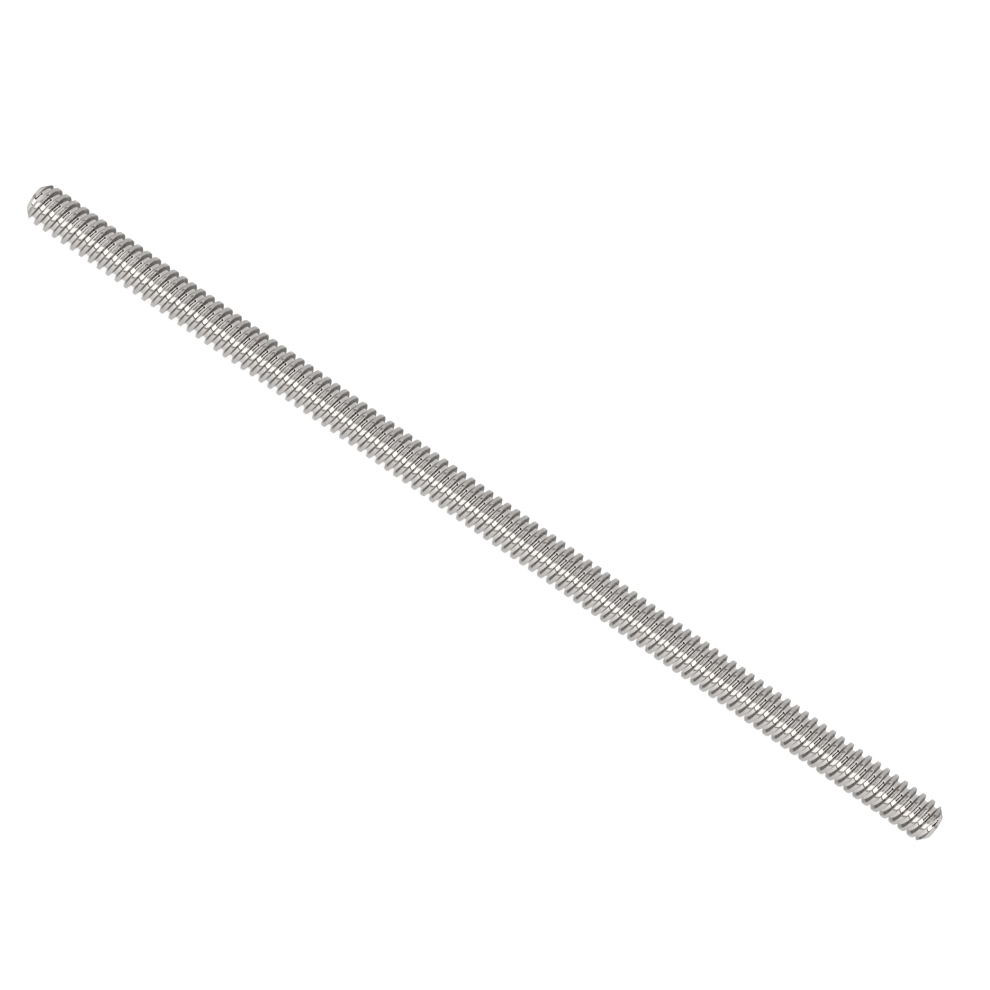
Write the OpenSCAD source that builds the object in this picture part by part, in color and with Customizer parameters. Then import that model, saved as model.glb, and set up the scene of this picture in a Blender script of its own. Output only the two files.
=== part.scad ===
// Trapezoidal lead screw: one bar with a multi-start thread over its whole length,
// cut square and chamfered at both ends.
// The axis lies along +X, and the origin is the centre of the drive end's face.

/* [Thread] */
// Diameter over the crests
crest_d = 8; // [6:0.5:12]
// Diameter at the bottom of the grooves
root_d = 6; // [4.5:0.1:6.5]
// Distance along the axis from one crest to the next
pitch = 2; // [1.6:0.1:2.6]
// Threads that wind side by side: a turn advances by this many pitches
starts = 2; // [1:1:4]
// Way that the thread winds
hand = "left"; // [left, right]
// Width of the flat along each crest
crest_w = 0.73; // [0.4:0.01:1]
// Angle between the two flanks of a groove
groove_angle = 30; // [24:1:40]
// Angle round the axis, from +Y, at which a groove is centred on the drive end's face
start_angle = 40; // [-180:5:180]

/* [Bar] */
// Length over both end faces
bar_l = 200; // [100:2:250]
// Diameter of the flat face at each end
end_face_d = 4.7; // [3:0.1:6]
// Angle between the chamfer and the axis
chamfer_angle = 45; // [30:1:60]

/* [Hidden] */

// Most facets that the flanks may have in all: their sides per turn follow from it
facet_limit = 5200;

lead = starts * pitch;
crest_r = crest_d / 2;
root_r = root_d / 2;
end_face_r = end_face_d / 2;
chamfer_l = (crest_r - end_face_r) / tan(chamfer_angle);

// The flanks, carried on past crest and root, meet in a sharp ridge and a sharp valley
flank_slope = tan(groove_angle / 2);
ridge_r = crest_r + crest_w / 2 / flank_slope;
valley_r = ridge_r - pitch / 2 / flank_slope;

// The sharp thread starts a lead and a pitch before the drive end and runs as far past the other
cut_pitches = ceil(bar_l / pitch) + starts + 2;
last = 2 * cut_pitches;
stations = [
    for (s = [0 : last])
        [(s / 2 - 1) * pitch - lead, s % 2 == 0 ? valley_r : ridge_r]
];
stations_per_turn = 2 * starts;
sides = floor(facet_limit / (2 * last));

// The corners stand out a little, so that the sides enclose the same area as a circle would
corner_share = sqrt(2 * PI / sides / sin(360 / sides));

// A station's point on one side, moved along the axis as the helix turns
function thread_point(station, side) =
    let (turn = side / sides, x = station[0], r = station[1] * corner_share)
    [x + lead * turn, r * cos(360 * turn), r * sin(360 * turn)];

// Number of a point; the side after the last is the first one, a whole lead further on
function point_at(s, side) =
    side < sides ? s * sides + side : (s + stations_per_turn) * sides;

// Two triangles between four neighbouring points, split along their short diagonal
function facet_pair(s, side) =
    let (a = point_at(s, side), b = point_at(s + 1, side))
    let (c = point_at(s + 1, side + 1), d = point_at(s, side + 1))
    [[a, b, d], [b, c, d]];

// Right-hand helix of sharp ridges and valleys, closed at each end by a cone and a flat step
module sharp_thread() {
    near_tip = (last + 1) * sides;
    far_tip = near_tip + 1;
    points = [
        for (station = stations, side = [0 : sides - 1]) thread_point(station, side),
        [stations[0][0] + lead / 2, 0, 0],
        [stations[last][0] + lead / 2, 0, 0]
    ];
    flanks = [
        for (side = [0 : sides - 1])
            let (end = side < sides - 1 ? last : last - stations_per_turn)
            for (s = [0 : end - 1]) each facet_pair(s, side)
    ];
    near_cone = [for (side = [0 : sides - 1]) [near_tip, point_at(0, side), point_at(0, side + 1)]];
    near_step = [near_tip, for (s = [stations_per_turn : -1 : 0]) point_at(s, 0)];
    far_cone = [for (side = [0 : sides - 2]) [far_tip, point_at(last, side + 1), point_at(last, side)]];
    far_close = [far_tip, point_at(last, 0), point_at(last - stations_per_turn, sides - 1)];
    far_step = [far_tip, for (s = [last - stations_per_turn : last]) point_at(s, sides - 1)];
    polyhedron(points, [each flanks, each near_cone, near_step, each far_cone, far_close, far_step]);
}

// The sharp thread wound the right way, with its valleys filled up to the root
module threaded_stock() {
    rotate([start_angle, 0, 0])
        mirror([0, 0, hand == "left" ? 1 : 0])
            sharp_thread();
    rotate([0, 90, 0])
        cylinder(r = root_r, h = bar_l, $fn = 96);
}

// Bar of the crests' diameter, with a chamfer at each end
module chamfered_bar() {
    rotate([0, 90, 0])
        rotate_extrude($fn = 96)
            polygon([
                [0, 0],
                [end_face_r, 0],
                [crest_r, chamfer_l],
                [crest_r, bar_l - chamfer_l],
                [end_face_r, bar_l],
                [0, bar_l]
            ]);
}

module lead_screw() {
    color("silver")
        intersection() {
            chamfered_bar();
            threaded_stock();
        }
}

lead_screw();
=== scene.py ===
# %% [markdown]
# # A steel lead screw
# A lead screw is one bar of steel with a trapezoidal thread rolled into it from end to end.
# The construction is already fixed as a solid, and this lesson gives it the finish of the real one.
# Everything is in metres, the screw's axis is +X, and x = 0 is the face of the drive end.

# %% Load the construction
import math
import bpy
from mathutils import Matrix, Vector


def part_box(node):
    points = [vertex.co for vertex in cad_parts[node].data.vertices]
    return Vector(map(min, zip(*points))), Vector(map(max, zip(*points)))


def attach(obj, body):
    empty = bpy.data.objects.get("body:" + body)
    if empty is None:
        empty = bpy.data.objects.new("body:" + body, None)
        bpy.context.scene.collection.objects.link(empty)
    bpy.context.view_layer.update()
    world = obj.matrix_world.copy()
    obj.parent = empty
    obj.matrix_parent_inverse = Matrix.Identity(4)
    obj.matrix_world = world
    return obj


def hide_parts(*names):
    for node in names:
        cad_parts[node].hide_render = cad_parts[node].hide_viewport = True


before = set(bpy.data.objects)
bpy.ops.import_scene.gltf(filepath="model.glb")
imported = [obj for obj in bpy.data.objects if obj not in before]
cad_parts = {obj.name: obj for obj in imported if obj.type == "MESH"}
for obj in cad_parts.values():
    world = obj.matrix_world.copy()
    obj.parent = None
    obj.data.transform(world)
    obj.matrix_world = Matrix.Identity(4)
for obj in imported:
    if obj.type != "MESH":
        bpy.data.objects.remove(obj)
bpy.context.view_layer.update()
MM = 0.001
low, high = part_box("lead_screw")
BAR_LENGTH = high.x - low.x
CREST_RADIUS = (high.z - low.z) / 2
print(f"bar: {BAR_LENGTH / MM:.1f} mm long, {2 * CREST_RADIUS / MM:.2f} mm over the crests")

# %% [markdown]
# ## Sizes of the thread
# The bar's length and its diameter over the crests come from the construction.
# The rest of the thread's sizes are named here once, and both the shape and the finish use them.
# Two threads wind side by side, so one turn advances by two pitches, and they wind to the left.

# %% Name the sizes
PITCH = 2 * MM
STARTS = 2
LEAD = STARTS * PITCH
LEFT_HAND = -1
ROOT_RADIUS = 3 * MM
CREST_FLAT = 0.73 * MM
FLANK_ANGLE = math.radians(15)
CORNER_RADIUS = 0.12 * MM
CROWN_ANGLE = math.radians(11)
HOLLOW_ANGLE = math.radians(12)
FILLET_RADIUS = 0.12 * MM
START_ANGLE = math.radians(40)
END_FACE_RADIUS = 2.35 * MM
CHAMFER_ANGLE = math.radians(45)
END_EDGE_RADIUS = 0.25 * MM
print(f"thread: pitch {PITCH / MM:.1f} mm, lead {LEAD / MM:.1f} mm")

# %% [markdown]
# ## Arithmetic that reads as arithmetic
# A node tree does its sums in Math nodes, one node for each sum, which is slow to write by hand.
# A small class can stand for a value in a tree: adding two of them then makes the Add node.
# The same class serves the shape and the finish, because both kinds of tree share the Math node.

# %% A value in a node tree
class Field:
    """A number that a node tree works out; sums on it add Math nodes to the tree."""

    def __init__(self, tree, socket):
        self.tree = tree
        self.socket = socket

    def math(self, operation, *others):
        node = self.tree.nodes.new("ShaderNodeMath")
        node.operation = operation
        for socket, value in zip(node.inputs, (self, *others)):
            plug(self.tree, value, socket)
        return Field(self.tree, node.outputs[0])

    def __add__(self, other):
        return self.math("ADD", other)

    def __sub__(self, other):
        return self.math("SUBTRACT", other)

    def __mul__(self, other):
        return self.math("MULTIPLY", other)

    def __truediv__(self, other):
        return self.math("DIVIDE", other)

    def __mod__(self, other):
        return self.math("FLOORED_MODULO", other)

    def __gt__(self, other):
        return self.math("GREATER_THAN", other)

    def __lt__(self, other):
        return self.math("LESS_THAN", other)


def plug(tree, value, socket):
    """Links a field or a socket to a socket, or sets the socket to a plain value."""
    if isinstance(value, Field):
        value = value.socket
    if isinstance(value, bpy.types.NodeSocket):
        tree.links.new(value, socket)
    else:
        socket.default_value = value


def add_node(tree, kind, inputs=None, **settings):
    """Adds a node with its settings and its inputs, and returns it."""
    node = tree.nodes.new(kind)
    for name, value in settings.items():
        setattr(node, name, value)
    for name, value in (inputs or {}).items():
        plug(tree, value, node.inputs[name])
    return node


def blend_fields(share, first, second):
    """The first field where share is 0, the second where it is 1."""
    return first + (second - first) * share


print("helpers ready: Field, plug, add_node, blend_fields")

# %% [markdown]
# ## A grid wrapped round the axis
# Anything that is turned or screwed is a flat grid in disguise.
# The rows of the grid are the stations along the profile and its columns are the sides round the axis.
# Moving every grid point to its own place on the bar wraps the sheet into a closed tube.
# Where the radius is nothing, a whole row meets in one point, and merging the doubles closes the end.

# %% The wrapped grid
MERGE_DISTANCE = 0.5e-6
HALF_STEP = 0.5


def grid_steps(tree, stations, sides):
    """A grid, with each point's station along the profile and its side round the axis."""
    grid = add_node(tree, "GeometryNodeMeshGrid", {"Vertices X": stations, "Vertices Y": sides + 1})
    index = Field(tree, add_node(tree, "GeometryNodeInputIndex").outputs[0])
    station = (index / (sides + 1)).math("FLOOR")
    return grid, station, index % (sides + 1)


def wrap(tree, grid, along, radius, angle):
    """Moves the grid's points round the X axis and closes the sheet that they make."""
    place = add_node(tree, "ShaderNodeCombineXYZ", {
        "X": along,
        "Y": radius * angle.math("COSINE"),
        "Z": radius * angle.math("SINE"),
    })
    moved = add_node(tree, "GeometryNodeSetPosition", {
        "Geometry": grid.outputs["Mesh"],
        "Position": place.outputs[0],
    })
    merged = add_node(tree, "GeometryNodeMergeByDistance", {
        "Geometry": moved.outputs[0],
        "Distance": MERGE_DISTANCE,
    })
    return merged.outputs[0]


print("helpers ready: grid_steps, wrap")

# %% [markdown]
# ## The profile of the thread
# Cut along its axis, the screw shows a row of blunt teeth: crest, sloping flank, root, flank.
# The rolling dies leave a small radius at each of the four corners, and that radius catches the light.
# Crest and root are not quite flat either: towards its edges the crest falls away by about a dozen
# degrees, and the root rises by as much.
# Every tooth is the same, so a point's place on it follows from its station's number alone.
# Counting outwards, point 0 is the middle of the crest, the next few round its corner,
# the few after that round the root's corner, and the last is the middle of the groove.

# %% Place a point on the tooth
CORNER_STEPS = 3
GROOVE_MIDDLE = 2 * CORNER_STEPS + 3
STATIONS_PER_PITCH = 2 * GROOVE_MIDDLE


def tooth_point(station, size):
    """A station's distance along the axis from the first groove, and its radius."""
    tooth = (station / STATIONS_PER_PITCH).math("FLOOR")
    from_crest = station % STATIONS_PER_PITCH - (GROOVE_MIDDLE - 1)
    steps_out = from_crest.math("ABSOLUTE")
    on_root = steps_out > CORNER_STEPS + 1 + HALF_STEP
    in_middle = (steps_out < HALF_STEP) + (steps_out > GROOVE_MIDDLE - HALF_STEP)
    turned = steps_out.math("MINIMUM", steps_out * -1 + GROOVE_MIDDLE) - 1

    crown = blend_fields(on_root, size["Crown Angle"], size["Hollow Angle"])
    corner_angle = size["Flank Angle"] * -1 + math.pi / 2 - crown
    arc = crown + turned * corner_angle / CORNER_STEPS
    corner = blend_fields(on_root, size["Corner Radius"], size["Fillet Radius"])
    setback = corner * (corner_angle / 2).math("TANGENT")
    reach = setback * crown.math("COSINE") - corner * (arc.math("SINE") - crown.math("SINE"))
    drop = corner * (crown.math("COSINE") - arc.math("COSINE")) - setback * crown.math("SINE")

    tooth_height = size["Crest Radius"] - size["Root Radius"]
    crest_half = size["Crest Flat"] / 2
    root_half = size["Pitch"] / 2 - crest_half - tooth_height * size["Flank Angle"].math("TANGENT")
    half_flat = blend_fields(on_root, crest_half, root_half)
    off_middle = (in_middle * -1 + 1) * (half_flat - reach)
    fall = (in_middle * -1 + 1) * (half_flat * (crown / 2).math("TANGENT") + drop)
    half_width = blend_fields(on_root, off_middle, size["Pitch"] / 2 - off_middle)
    radius = blend_fields(on_root, size["Crest Radius"] - fall, size["Root Radius"] + fall)
    along = (tooth + 0.5) * size["Pitch"] + from_crest.math("SIGN") * half_width
    return along, radius


print(f"tooth: {STATIONS_PER_PITCH} points to a pitch")

# %% [markdown]
# ## Winding the teeth into a helix
# A screw is the tooth profile carried round the axis while it moves along it.
# The Screw modifier can do that, but it leaves ragged ends, and its sizes are hard to read later.
# Here each column of the grid holds the same row of teeth, moved along by its share of a turn.
# The last column lands on the first one, a whole lead further on, so the seam closes by itself.
# Points that fall past either end drop to the axis, which closes the stock in a blunt point there.

# %% Wind the stock
OVERRUN = 1 * MM
SPARE_TEETH = 3


def wound_stock(tree, size):
    """The threaded stock, a little longer than the bar at both ends."""
    teeth = (size["Length"] / size["Pitch"]).math("CEIL") + size["Starts"] + SPARE_TEETH
    grid, station, side = grid_steps(tree, teeth * STATIONS_PER_PITCH, size["Sides"])
    turn = side / size["Sides"]
    along, radius = tooth_point(station, size)
    lead = size["Pitch"] * size["Starts"]
    along = along - lead - size["Pitch"] + lead * turn
    far_end = size["Length"] + OVERRUN
    inside = (along > -OVERRUN) * (along < far_end)
    along = along.math("MAXIMUM", -OVERRUN).math("MINIMUM", far_end)
    angle = size["Start Angle"] + turn * size["Hand"] * math.tau
    return wrap(tree, grid, along, radius * inside, angle)


print("stock: wound by wound_stock")

# %% [markdown]
# ## Facing and chamfering the ends
# After rolling, the bar is cut to length, and a lathe faces each end and takes off its corner.
# That is one turned shape: a face, a tiny broken edge, a cone, and then clear of the crests.
# A second wrapped grid makes it, and an Intersect boolean leaves the stock that lies inside it.

# %% Turn the outline of the ends
EDGE_STEPS = 2
END_STEPS = EDGE_STEPS + 3
CLEAR_OF_CRESTS = 1.5


def turned_outline(tree, size):
    """The turned shape that the stock is cut to: faces and cones at the ends, clear of the thread."""
    grid, station, side = grid_steps(tree, 2 * END_STEPS, size["Sides"])
    far = station > END_STEPS - HALF_STEP
    step = blend_fields(far, station, station * -1 + (2 * END_STEPS - 1))
    edge = size["End Edge Radius"]
    edge_angle = size["Chamfer Angle"] * -1 + math.pi / 2
    arc = (step - 1) * edge_angle / EDGE_STEPS
    edge_start = size["End Face Radius"] - edge * (edge_angle / 2).math("TANGENT")
    clear_radius = size["Crest Radius"] * CLEAR_OF_CRESTS
    cone = (clear_radius - size["End Face Radius"]) / size["Chamfer Angle"].math("TANGENT")
    on_axis = step < HALF_STEP
    past_edge = step > END_STEPS - 1 - HALF_STEP
    depth = blend_fields(past_edge, edge - edge * arc.math("COSINE"), cone)
    radius = blend_fields(past_edge, edge_start + edge * arc.math("SINE"), clear_radius)
    not_axis = on_axis * -1 + 1
    along = blend_fields(far, depth * not_axis, size["Length"] - depth * not_axis)
    angle = side / size["Sides"] * size["Hand"] * math.tau
    return wrap(tree, grid, along, radius * not_axis, angle)


print("ends: cut by turned_outline")

# %% [markdown]
# ## The whole screw as one tree
# The tree takes its sizes as named inputs, so the same tree can wind another screw.
# After the boolean, faces are shaded smooth and only edges that turn sharply stay sharp.

# %% Build the tree
SIDES = 54
SHARP_TURN = math.radians(39)
SCREW_SIZES = {
    "Length": BAR_LENGTH,
    "Crest Radius": CREST_RADIUS,
    "Root Radius": ROOT_RADIUS,
    "Pitch": PITCH,
    "Starts": STARTS,
    "Hand": LEFT_HAND,
    "Crest Flat": CREST_FLAT,
    "Flank Angle": FLANK_ANGLE,
    "Corner Radius": CORNER_RADIUS,
    "Crown Angle": CROWN_ANGLE,
    "Hollow Angle": HOLLOW_ANGLE,
    "Fillet Radius": FILLET_RADIUS,
    "Start Angle": START_ANGLE,
    "End Face Radius": END_FACE_RADIUS,
    "Chamfer Angle": CHAMFER_ANGLE,
    "End Edge Radius": END_EDGE_RADIUS,
    "Sides": SIDES,
}


def screw_tree():
    """The Geometry Nodes tree of a threaded bar with chamfered ends."""
    tree = bpy.data.node_groups.new("lead_screw_tree", "GeometryNodeTree")
    for name in SCREW_SIZES:
        tree.interface.new_socket(name=name, in_out="INPUT", socket_type="NodeSocketFloat")
    tree.interface.new_socket(name="Finish", in_out="INPUT", socket_type="NodeSocketMaterial")
    tree.interface.new_socket(name="Screw", in_out="OUTPUT", socket_type="NodeSocketGeometry")
    inputs = add_node(tree, "NodeGroupInput").outputs
    size = {name: Field(tree, inputs[name]) for name in SCREW_SIZES}
    cut = add_node(tree, "GeometryNodeMeshBoolean", operation="INTERSECT", solver="MANIFOLD")
    tree.links.new(turned_outline(tree, size), cut.inputs["Mesh 2"])
    tree.links.new(wound_stock(tree, size), cut.inputs["Mesh 2"])
    smooth = add_node(tree, "GeometryNodeSetShadeSmooth", {"Geometry": cut.outputs["Mesh"]})
    turn = Field(tree, add_node(tree, "GeometryNodeInputMeshEdgeAngle").outputs["Unsigned Angle"])
    sharp = add_node(tree, "GeometryNodeStoreNamedAttribute", data_type="BOOLEAN", domain="EDGE")
    plug(tree, smooth.outputs[0], sharp.inputs["Geometry"])
    plug(tree, turn > SHARP_TURN, sharp.inputs["Value"])
    sharp.inputs["Name"].default_value = "sharp_edge"
    real = add_node(tree, "GeometryNodeRealizeInstances", {"Geometry": sharp.outputs[0]})
    finished = add_node(tree, "GeometryNodeSetMaterial", {"Geometry": real.outputs[0]})
    plug(tree, inputs["Finish"], finished.inputs["Material"])
    output = add_node(tree, "NodeGroupOutput")
    tree.links.new(finished.outputs[0], output.inputs["Screw"])
    return tree


TREE = screw_tree()
print(f"tree: {len(TREE.nodes)} nodes")

# %% [markdown]
# ## The finish of the steel
# Rolling leaves the steel bright, with fine drag marks that run along the thread, not along the bar.
# A noise stretched along the bar would cross the crests at an angle and look wrong.
# The helix gives a better ruler: the angle round the axis, plus the turns that the distance along
# stands for, is the same all the way down one thread.
# Noise on the cosine and sine of that angle follows the thread and has no seam.
# How far a point is from the axis tells which part of the tooth it is on, so that sets the rest.
# The roots are the smoothest and brightest, and the flanks carry painted shade: their colour and edge tint
# are darkened as if shaded between the teeth.
# The crests are duller, with a grain round the bar that spreads a reflection along it.

# %% Mix the steel
STREAK_WIDTH = 0.16 * MM
STREAK_LENGTH = 5 * MM
TONE_PATCH = 7 * MM
STREAK_HEIGHT = 0.0012 * MM
STREAK_DETAIL = 3.0
STREAK_GRIT = 0.6
SOFT_DETAIL = 2.0
RING_WIDTH = 0.09 * MM
END_DEPTH = 0.01 * MM
DARK_STEEL = (0.475, 0.454, 0.436, 1.0)
PALE_STEEL = (0.553, 0.533, 0.518, 1.0)
MARK_SHARE = 0.7
NOISE_LOW = 0.3
NOISE_HIGH = 0.7
SMOOTHER = 0.8
ROUGHER = 1.2
ROOT_ROUGHNESS = 0.07
CREST_ROUGHNESS = 0.24
CREST_GRAIN = 0.9
GRAIN_TURN = 0.25
FLANK_PAINTED_SHADE = 0.26
FLANK_EDGE_PAINTED_SHADE = 0.1
FLANK_INSET = 0.15 * MM
ROOT_BRIGHTNESS = 1.19


def noise(tree, vector, detail, roughness=0.5):
    """The value of a fractal noise at a vector."""
    node = add_node(tree, "ShaderNodeTexNoise", {
        "Vector": vector,
        "Scale": 1.0,
        "Detail": detail,
        "Roughness": roughness,
    })
    return Field(tree, node.outputs[0])


def vector_of(tree, x, y, z):
    """A vector made of three fields."""
    return add_node(tree, "ShaderNodeCombineXYZ", {"X": x, "Y": y, "Z": z}).outputs[0]


def ramp(tree, value, low, high, at_low, at_high):
    """A field that goes from at_low to at_high as value goes from low to high."""
    node = add_node(tree, "ShaderNodeMapRange", {
        "Value": value,
        "From Min": low,
        "From Max": high,
        "To Min": at_low,
        "To Max": at_high,
    })
    return Field(tree, node.outputs[0])


def steel_finish():
    """Bright rolled steel: drag marks along the thread, turning rings on the end faces, and painted shade on
    the flanks.
    """
    material = bpy.data.materials.new("rolled_steel")
    material.use_nodes = True
    tree = material.node_tree
    shader = tree.nodes["Principled BSDF"]
    place = add_node(tree, "ShaderNodeTexCoord").outputs["Object"]
    axes = add_node(tree, "ShaderNodeSeparateXYZ", {"Vector": place}).outputs
    along, across, up = (Field(tree, axes[name]) for name in "XYZ")
    radius = (across * across + up * up).math("SQRT")
    angle = up.math("ARCTAN2", across)
    helix = along * (math.tau / LEAD) - angle * LEFT_HAND

    streaks_round = LEAD / math.tau / STREAK_WIDTH
    turns_along = math.tau * CREST_RADIUS / LEAD / STREAK_LENGTH
    streak_place = vector_of(
        tree,
        helix.math("COSINE") * streaks_round,
        helix.math("SINE") * streaks_round,
        along * turns_along,
    )
    streaks = noise(tree, streak_place, STREAK_DETAIL, STREAK_GRIT)
    ring_place = vector_of(tree, radius / RING_WIDTH, angle.math("COSINE"), angle.math("SINE"))
    rings = noise(tree, ring_place, SOFT_DETAIL)
    on_end = (along < END_DEPTH) + (along > BAR_LENGTH - END_DEPTH)
    marks = blend_fields(on_end, streaks, rings)
    patch_place = vector_of(tree, along / TONE_PATCH, across / TONE_PATCH, up / TONE_PATCH)
    patches = noise(tree, patch_place, SOFT_DETAIL)

    mottle = marks * MARK_SHARE + patches * (1 - MARK_SHARE)
    tone = ramp(tree, mottle, NOISE_LOW, NOISE_HIGH, 0.0, 1.0)
    colour = add_node(tree, "ShaderNodeMix", data_type="RGBA")
    plug(tree, tone, colour.inputs["Factor"])
    colour.inputs["A"].default_value = DARK_STEEL
    colour.inputs["B"].default_value = PALE_STEEL
    flank_low = ROOT_RADIUS + FLANK_INSET
    flank_high = CREST_RADIUS - FLANK_INSET
    above_root = ramp(tree, radius, flank_low - FLANK_INSET / 2, flank_low, 0.0, 1.0)
    below_crest = ramp(tree, radius, flank_high - FLANK_INSET, flank_high, 1.0, 0.0)
    shaded = add_node(tree, "ShaderNodeVectorMath", operation="SCALE")
    plug(tree, colour.outputs["Result"], shaded.inputs[0])
    level = ramp(tree, above_root, 0.0, 1.0, ROOT_BRIGHTNESS, 1.0)
    # Painted shade: the flanks' colour and edge tint are darkened to stand for the shade between the teeth.
    flank_painted_shade_mask = above_root * below_crest
    plug(tree, level * (flank_painted_shade_mask * -FLANK_PAINTED_SHADE + 1), shaded.inputs["Scale"])
    plug(tree, flank_painted_shade_mask * -FLANK_EDGE_PAINTED_SHADE + 1, shader.inputs["Specular Tint"])
    plug(tree, shaded.outputs["Vector"], shader.inputs["Base Color"])
    dull = ramp(tree, radius, ROOT_RADIUS, CREST_RADIUS, ROOT_ROUGHNESS, CREST_ROUGHNESS)
    uneven = ramp(tree, marks, NOISE_LOW, NOISE_HIGH, SMOOTHER, ROUGHER)
    plug(tree, dull * uneven, shader.inputs["Roughness"])
    bump = add_node(tree, "ShaderNodeBump", {
        "Strength": 1.0,
        "Distance": STREAK_HEIGHT,
        "Height": marks,
    })
    plug(tree, bump.outputs["Normal"], shader.inputs["Normal"])
    grain = ramp(tree, radius, ROOT_RADIUS, flank_high, 0.0, CREST_GRAIN)
    plug(tree, grain, shader.inputs["Anisotropic"])
    shader.inputs["Anisotropic Rotation"].default_value = GRAIN_TURN
    round_axis = add_node(tree, "ShaderNodeTangent", direction_type="RADIAL", axis="X")
    plug(tree, round_axis.outputs[0], shader.inputs["Tangent"])
    shader.inputs["Metallic"].default_value = 1.0
    return material


STEEL = steel_finish()
print(f"finish: {STEEL.name}, {len(STEEL.node_tree.nodes)} nodes")

# %% [markdown]
# ## The screw itself
# The tree is a recipe until something carries it, so an empty mesh gets it as a modifier.
# Its inputs are set before it is first worked out, each by its socket's identifier.
# A Weighted Normal modifier then keeps the flats looking flat beside their small rounded corners.
# The result becomes a plain mesh that stands for the solid.

# %% Wind the screw
FLAT_WEIGHT = 85

screw = bpy.data.objects.new("lead_screw_thread", bpy.data.meshes.new("lead_screw_thread"))
bpy.context.scene.collection.objects.link(screw)
winding = screw.modifiers.new("winding", "NODES")
winding.node_group = TREE
for item in TREE.interface.items_tree:
    if item.name in SCREW_SIZES:
        winding[item.identifier] = float(SCREW_SIZES[item.name])
    elif item.name == "Finish":
        winding[item.identifier] = STEEL
flats = screw.modifiers.new("flats", "WEIGHTED_NORMAL")
flats.keep_sharp = True
flats.weight = FLAT_WEIGHT

graph = bpy.context.evaluated_depsgraph_get()
wound = bpy.data.meshes.new_from_object(
    screw.evaluated_get(graph),
    preserve_all_data_layers=True,
    depsgraph=graph,
)
screw.modifiers.clear()
screw.data = wound
wound.name = "lead_screw_thread"
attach(screw, "root")
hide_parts("lead_screw")
print(f"screw: {len(wound.polygons)} faces, {len(wound.materials)} material")

# %% [markdown]
# ## The floor
# The screw lies on a plain white table. For the camera the table glows, so that it reads as white,
# and the rest of its brightness is real light, which keeps the shadow.
# The teeth mirror the table too, in front and behind, and for them the glow carries painted shade.
# It fades out some way in front of the screw, a painted shade standing for where the lit part of the table
# ends.
# It is weaker close to the screw, a painted shade there, and a dark band just behind the screw is a painted
# shadow of it.

# %% Lay the floor
FLOOR_HALF = 2.0
FLOOR_PALE = 0.8
FLOOR_SHADE = 0.25
CAMERA_GLOW = 0.88
MIRROR_GLOW = 0.97
NEAR_PAINTED_SHADE_GLOW = 0.66
NEAR_REACH = 20 * MM
LIT_REACH = 50 * MM
DARK_REACH = 90 * MM
FAR_PAINTED_SHADE_GLOW = 0.2
PAINTED_SHADOW_MIDDLE = 9 * MM
PAINTED_SHADOW_HALF = 4 * MM
PAINTED_SHADOW_EDGE = 4 * MM
PAINTED_SHADOW_GLOW = 0.22


def floor_finish():
    """Matt white that reads as white and still takes a shadow, with painted shade and a painted shadow in
    the glow that reflections see.
    """
    material = bpy.data.materials.new("white_table")
    material.use_nodes = True
    tree = material.node_tree
    tree.nodes.clear()
    path = add_node(tree, "ShaderNodeLightPath").outputs
    seen = Field(tree, path["Is Camera Ray"])
    glossy = Field(tree, path["Is Glossy Ray"])
    passed_on = Field(tree, path["Is Transmission Ray"])
    mirrored = (glossy + passed_on).math("MINIMUM", 1.0)
    pale = ramp(tree, seen + mirrored, 0.0, 1.0, FLOOR_PALE, FLOOR_SHADE)
    matt = add_node(tree, "ShaderNodeBsdfDiffuse", {"Color": pale})
    place = add_node(tree, "ShaderNodeNewGeometry").outputs["Position"]
    away = Field(tree, add_node(tree, "ShaderNodeSeparateXYZ", {"Vector": place}).outputs["Y"])
    # Painted shade and shadow: the glow that the teeth mirror is dimmed close to the screw, far in front of
    # it, and in a band behind it.
    from_painted_shadow = (away - PAINTED_SHADOW_MIDDLE).math("ABSOLUTE") - PAINTED_SHADOW_HALF
    near_painted_shade = ramp(tree, away, -NEAR_REACH, 0.0, MIRROR_GLOW, NEAR_PAINTED_SHADE_GLOW)
    far_painted_shade = ramp(tree, away, -DARK_REACH, -LIT_REACH, FAR_PAINTED_SHADE_GLOW, 1.0)
    painted_shadow_glow = ramp(tree, from_painted_shadow, 0.0, PAINTED_SHADOW_EDGE, PAINTED_SHADOW_GLOW, 1.0)
    mirror_glow = near_painted_shade * far_painted_shade * painted_shadow_glow
    strength = seen * CAMERA_GLOW + mirrored * mirror_glow
    glow = add_node(tree, "ShaderNodeEmission", {"Strength": strength})
    both = add_node(tree, "ShaderNodeAddShader")
    tree.links.new(matt.outputs[0], both.inputs[0])
    tree.links.new(glow.outputs[0], both.inputs[1])
    output = add_node(tree, "ShaderNodeOutputMaterial")
    tree.links.new(both.outputs[0], output.inputs["Surface"])
    return material


CORNER_SIGNS = ((-1, -1), (1, -1), (1, 1), (-1, 1))
corners = [(x * FLOOR_HALF, y * FLOOR_HALF, low.z) for x, y in CORNER_SIGNS]
table = bpy.data.meshes.new("floor")
table.from_pydata(corners, [], [(0, 1, 2, 3)])
table.materials.append(floor_finish())
floor = bpy.data.objects.new("floor", table)
bpy.context.scene.collection.objects.link(floor)
print(f"floor: at {low.z / MM:.1f} mm")

# %% [markdown]
# ## The light
# Bright steel shows its surroundings, so the surroundings are the light.
# A long softbox in front gives the white band along the screw, and a tent of pale cloth arches over it.
# The tent has a dark slot from the softbox up past the top, wider at the front, which makes the dark
# line in every root. A grey rim a little further out, on either side, keeps the bright lines beside it thin.
# A dark patch at the slot's far end makes the dot at the end of that line.
# The roof is the brightest cloth, and the tent's sides grow dark towards the back.
# Angles are measured from the table in front, over the top, and down to the table behind.
# A reach is how far a patch goes to either side: the sine of the angle away from square to the bar.

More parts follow.
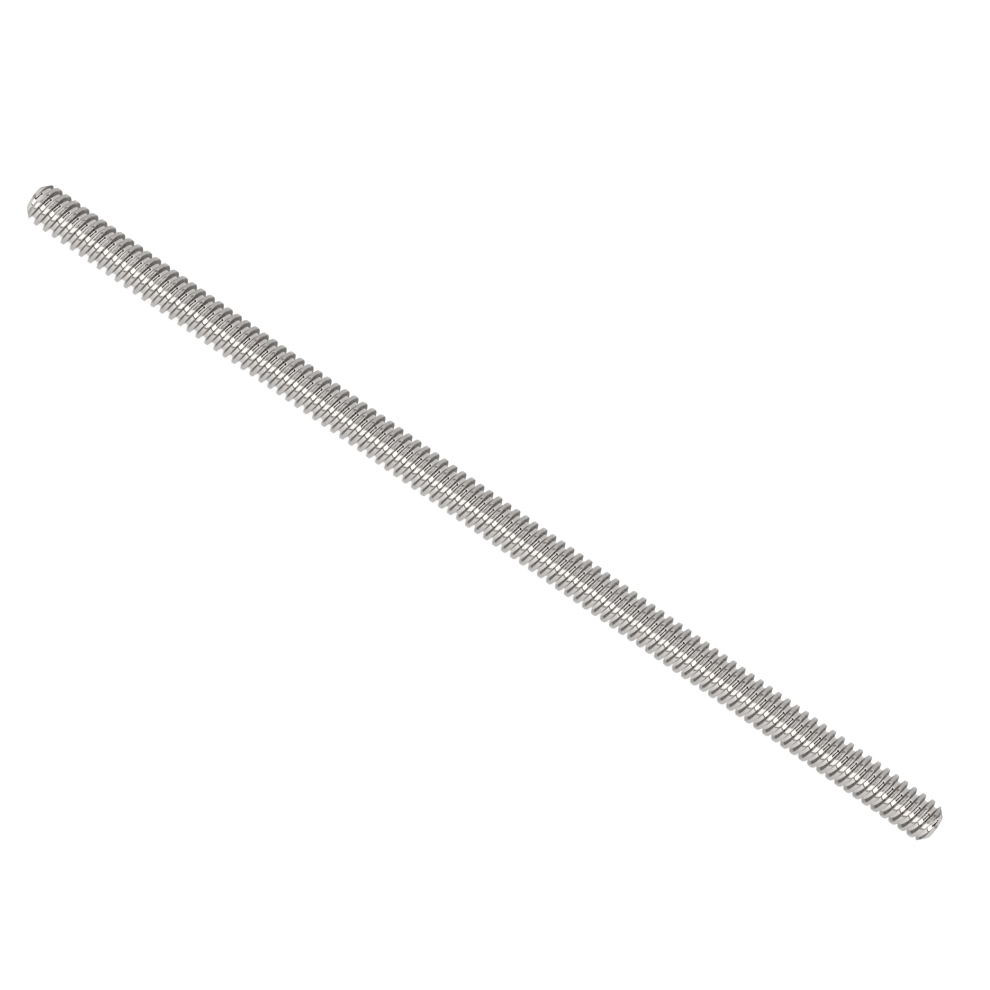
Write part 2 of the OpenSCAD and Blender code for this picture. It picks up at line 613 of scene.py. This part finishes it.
# %% Set the light
FRONT_LOW = math.radians(5)
FRONT_HIGH = math.radians(41)
FRONT_DISTANCE = 0.9
FRONT_LENGTH = 3.0
FRONT_RADIANCE = 1.95
DOME_LOW = math.radians(42)
DOME_HIGH = math.radians(182)
DOME_REACH = 0.95
DOME_RADIANCE = 0.85
SLOT_LOW = math.radians(42)
SLOT_HIGH = math.radians(100)
SLOT_LOW_REACH = 0.235
SLOT_HIGH_REACH = 0.155
RIM_INNER = 0.33
RIM_OUTER = 0.54
RIM_SHADE = 0.62
DOT_LOW = math.radians(95)
DOT_HIGH = math.radians(108)
DOT_REACH = 0.33
ROOF_GAIN = 2.3
ROOF_SIDE_GAIN = 2.6
BACK_SIDE_GAIN = 0.15
BACK_LOW = math.radians(103)
BACK_HIGH = math.radians(118)
SIDE_LOW = 0.51
SIDE_HIGH = 0.6
DARK_RADIANCE = 0.02
PANEL_EDGE = 0.025


def add_softbox(name, centre, target, length, height, radiance):
    """A rectangular lamp that faces a point, as bright as a surface of that radiance."""
    lamp = bpy.data.lights.new(name, "AREA")
    lamp.shape = "RECTANGLE"
    lamp.size = length
    lamp.size_y = height
    lamp.energy = radiance * math.pi * length * height
    holder = bpy.data.objects.new(name, lamp)
    bpy.context.scene.collection.objects.link(holder)
    aim = (target - centre).to_track_quat("-Z", "Y").to_matrix().to_4x4()
    holder.matrix_world = Matrix.Translation(centre) @ aim


MIDDLE = Vector((BAR_LENGTH / 2, 0, 0))
front_angle = (FRONT_LOW + FRONT_HIGH) / 2
front_centre = MIDDLE + FRONT_DISTANCE * Vector((0, -math.cos(front_angle), math.sin(front_angle)))
front_height = 2 * FRONT_DISTANCE * math.tan((FRONT_HIGH - FRONT_LOW) / 2)
add_softbox("front_softbox", front_centre, MIDDLE, FRONT_LENGTH, front_height, FRONT_RADIANCE)


def sky_patch(tree, turned, sideways, low, high, reach):
    """1 inside a patch of sky between two angles, as far as its reach to either side, and 0 outside."""
    lower = ramp(tree, turned, low - PANEL_EDGE, low + PANEL_EDGE, 0.0, 1.0)
    upper = ramp(tree, turned, high - PANEL_EDGE, high + PANEL_EDGE, 1.0, 0.0)
    side = ramp(tree, sideways, reach - PANEL_EDGE, reach + PANEL_EDGE, 1.0, 0.0)
    return lower * upper * side


def studio_sky():
    """A light tent with a slot in its roof, and plain white behind the screw for the camera."""
    world = bpy.data.worlds.new("studio")
    world.use_nodes = True
    tree = world.node_tree
    background = tree.nodes["Background"]
    toward = add_node(tree, "ShaderNodeTexCoord").outputs["Generated"]
    axes = add_node(tree, "ShaderNodeSeparateXYZ", {"Vector": toward}).outputs
    along, away, up = (Field(tree, axes[name]) for name in "XYZ")
    turned = up.math("ARCTAN2", away * -1)
    sideways = along.math("ABSOLUTE")
    dome = sky_patch(tree, turned, sideways, DOME_LOW, DOME_HIGH, DOME_REACH)
    slot_reach = ramp(tree, turned, SLOT_LOW, SLOT_HIGH, SLOT_LOW_REACH, SLOT_HIGH_REACH)
    slot = sky_patch(tree, turned, sideways, SLOT_LOW, SLOT_HIGH, slot_reach)
    rim = (
        sky_patch(tree, turned, sideways, SLOT_LOW, SLOT_HIGH, RIM_OUTER)
        - sky_patch(tree, turned, sideways, SLOT_LOW, SLOT_HIGH, RIM_INNER)
    )
    dot = sky_patch(tree, turned, sideways, DOT_LOW, DOT_HIGH, DOT_REACH)
    middle_gain = ramp(tree, turned, BACK_LOW, BACK_HIGH, ROOF_GAIN, 1.0)
    side_gain = ramp(tree, turned, BACK_LOW, BACK_HIGH, ROOF_SIDE_GAIN, BACK_SIDE_GAIN)
    on_side = ramp(tree, sideways, SIDE_LOW, SIDE_HIGH, 0.0, 1.0)
    gain = blend_fields(on_side, middle_gain, side_gain)
    cloth = dome * (slot * -1 + 1) * (rim * -RIM_SHADE + 1) * (dot * -1 + 1)
    light = cloth * gain * (DOME_RADIANCE - DARK_RADIANCE) + DARK_RADIANCE
    seen = Field(tree, add_node(tree, "ShaderNodeLightPath").outputs["Is Camera Ray"])
    plug(tree, blend_fields(seen, light, seen), background.inputs["Color"])
    return world


scene = bpy.context.scene
scene.world = studio_sky()
scene.view_settings.view_transform = "Standard"
print(f"light: softbox {FRONT_LENGTH:.1f} m by {front_height:.2f} m")

# %% [markdown]
# ## The camera
# A long lens looks down on the screw from a little to one side of its middle.
# The camera is rolled, so that the screw slants from the upper left to the lower right.
# The bar's length in the picture and the lens, both in pixels, give the camera's distance.

# %% Place the camera
PHOTO_SIZE = 990
PHOTO_MIDDLE = Vector((483.8, 512.1))
PHOTO_LENGTH = 1099.5
PHOTO_SLANT = math.radians(34.956)
LOOK_DOWN = math.radians(47)
LENS_PIXELS = 3600.0
ASIDE_PIXELS = 45.0
SENSOR = 36.0

pixels_per_metre = PHOTO_LENGTH / BAR_LENGTH
distance = LENS_PIXELS / pixels_per_metre
bar_up = Vector((0, math.sin(LOOK_DOWN), math.cos(LOOK_DOWN)))
square = Vector((0, -math.cos(LOOK_DOWN), math.sin(LOOK_DOWN)))
aside = math.atan2(ASIDE_PIXELS, LENS_PIXELS)
toward_camera = math.cos(aside) * square + Vector((math.sin(aside), 0, 0))
bar_along = Vector((math.cos(aside), 0, 0)) - math.sin(aside) * square
right = math.cos(PHOTO_SLANT) * bar_along + math.sin(PHOTO_SLANT) * bar_up
up = math.cos(PHOTO_SLANT) * bar_up - math.sin(PHOTO_SLANT) * bar_along
offset = (Vector((PHOTO_SIZE / 2, PHOTO_SIZE / 2)) - PHOTO_MIDDLE) / pixels_per_metre
place = MIDDLE + toward_camera * distance + right * offset.x - up * offset.y

lens = bpy.data.cameras.new("camera")
lens.sensor_width = SENSOR
lens.lens = SENSOR * LENS_PIXELS / PHOTO_SIZE
camera = bpy.data.objects.new("camera", lens)
scene.collection.objects.link(camera)
turn = Matrix((right, up, toward_camera)).transposed().to_4x4()
camera.matrix_world = Matrix.Translation(place) @ turn
scene.camera = camera
print(f"camera: {distance:.2f} m away, {lens.lens:.0f} mm lens")
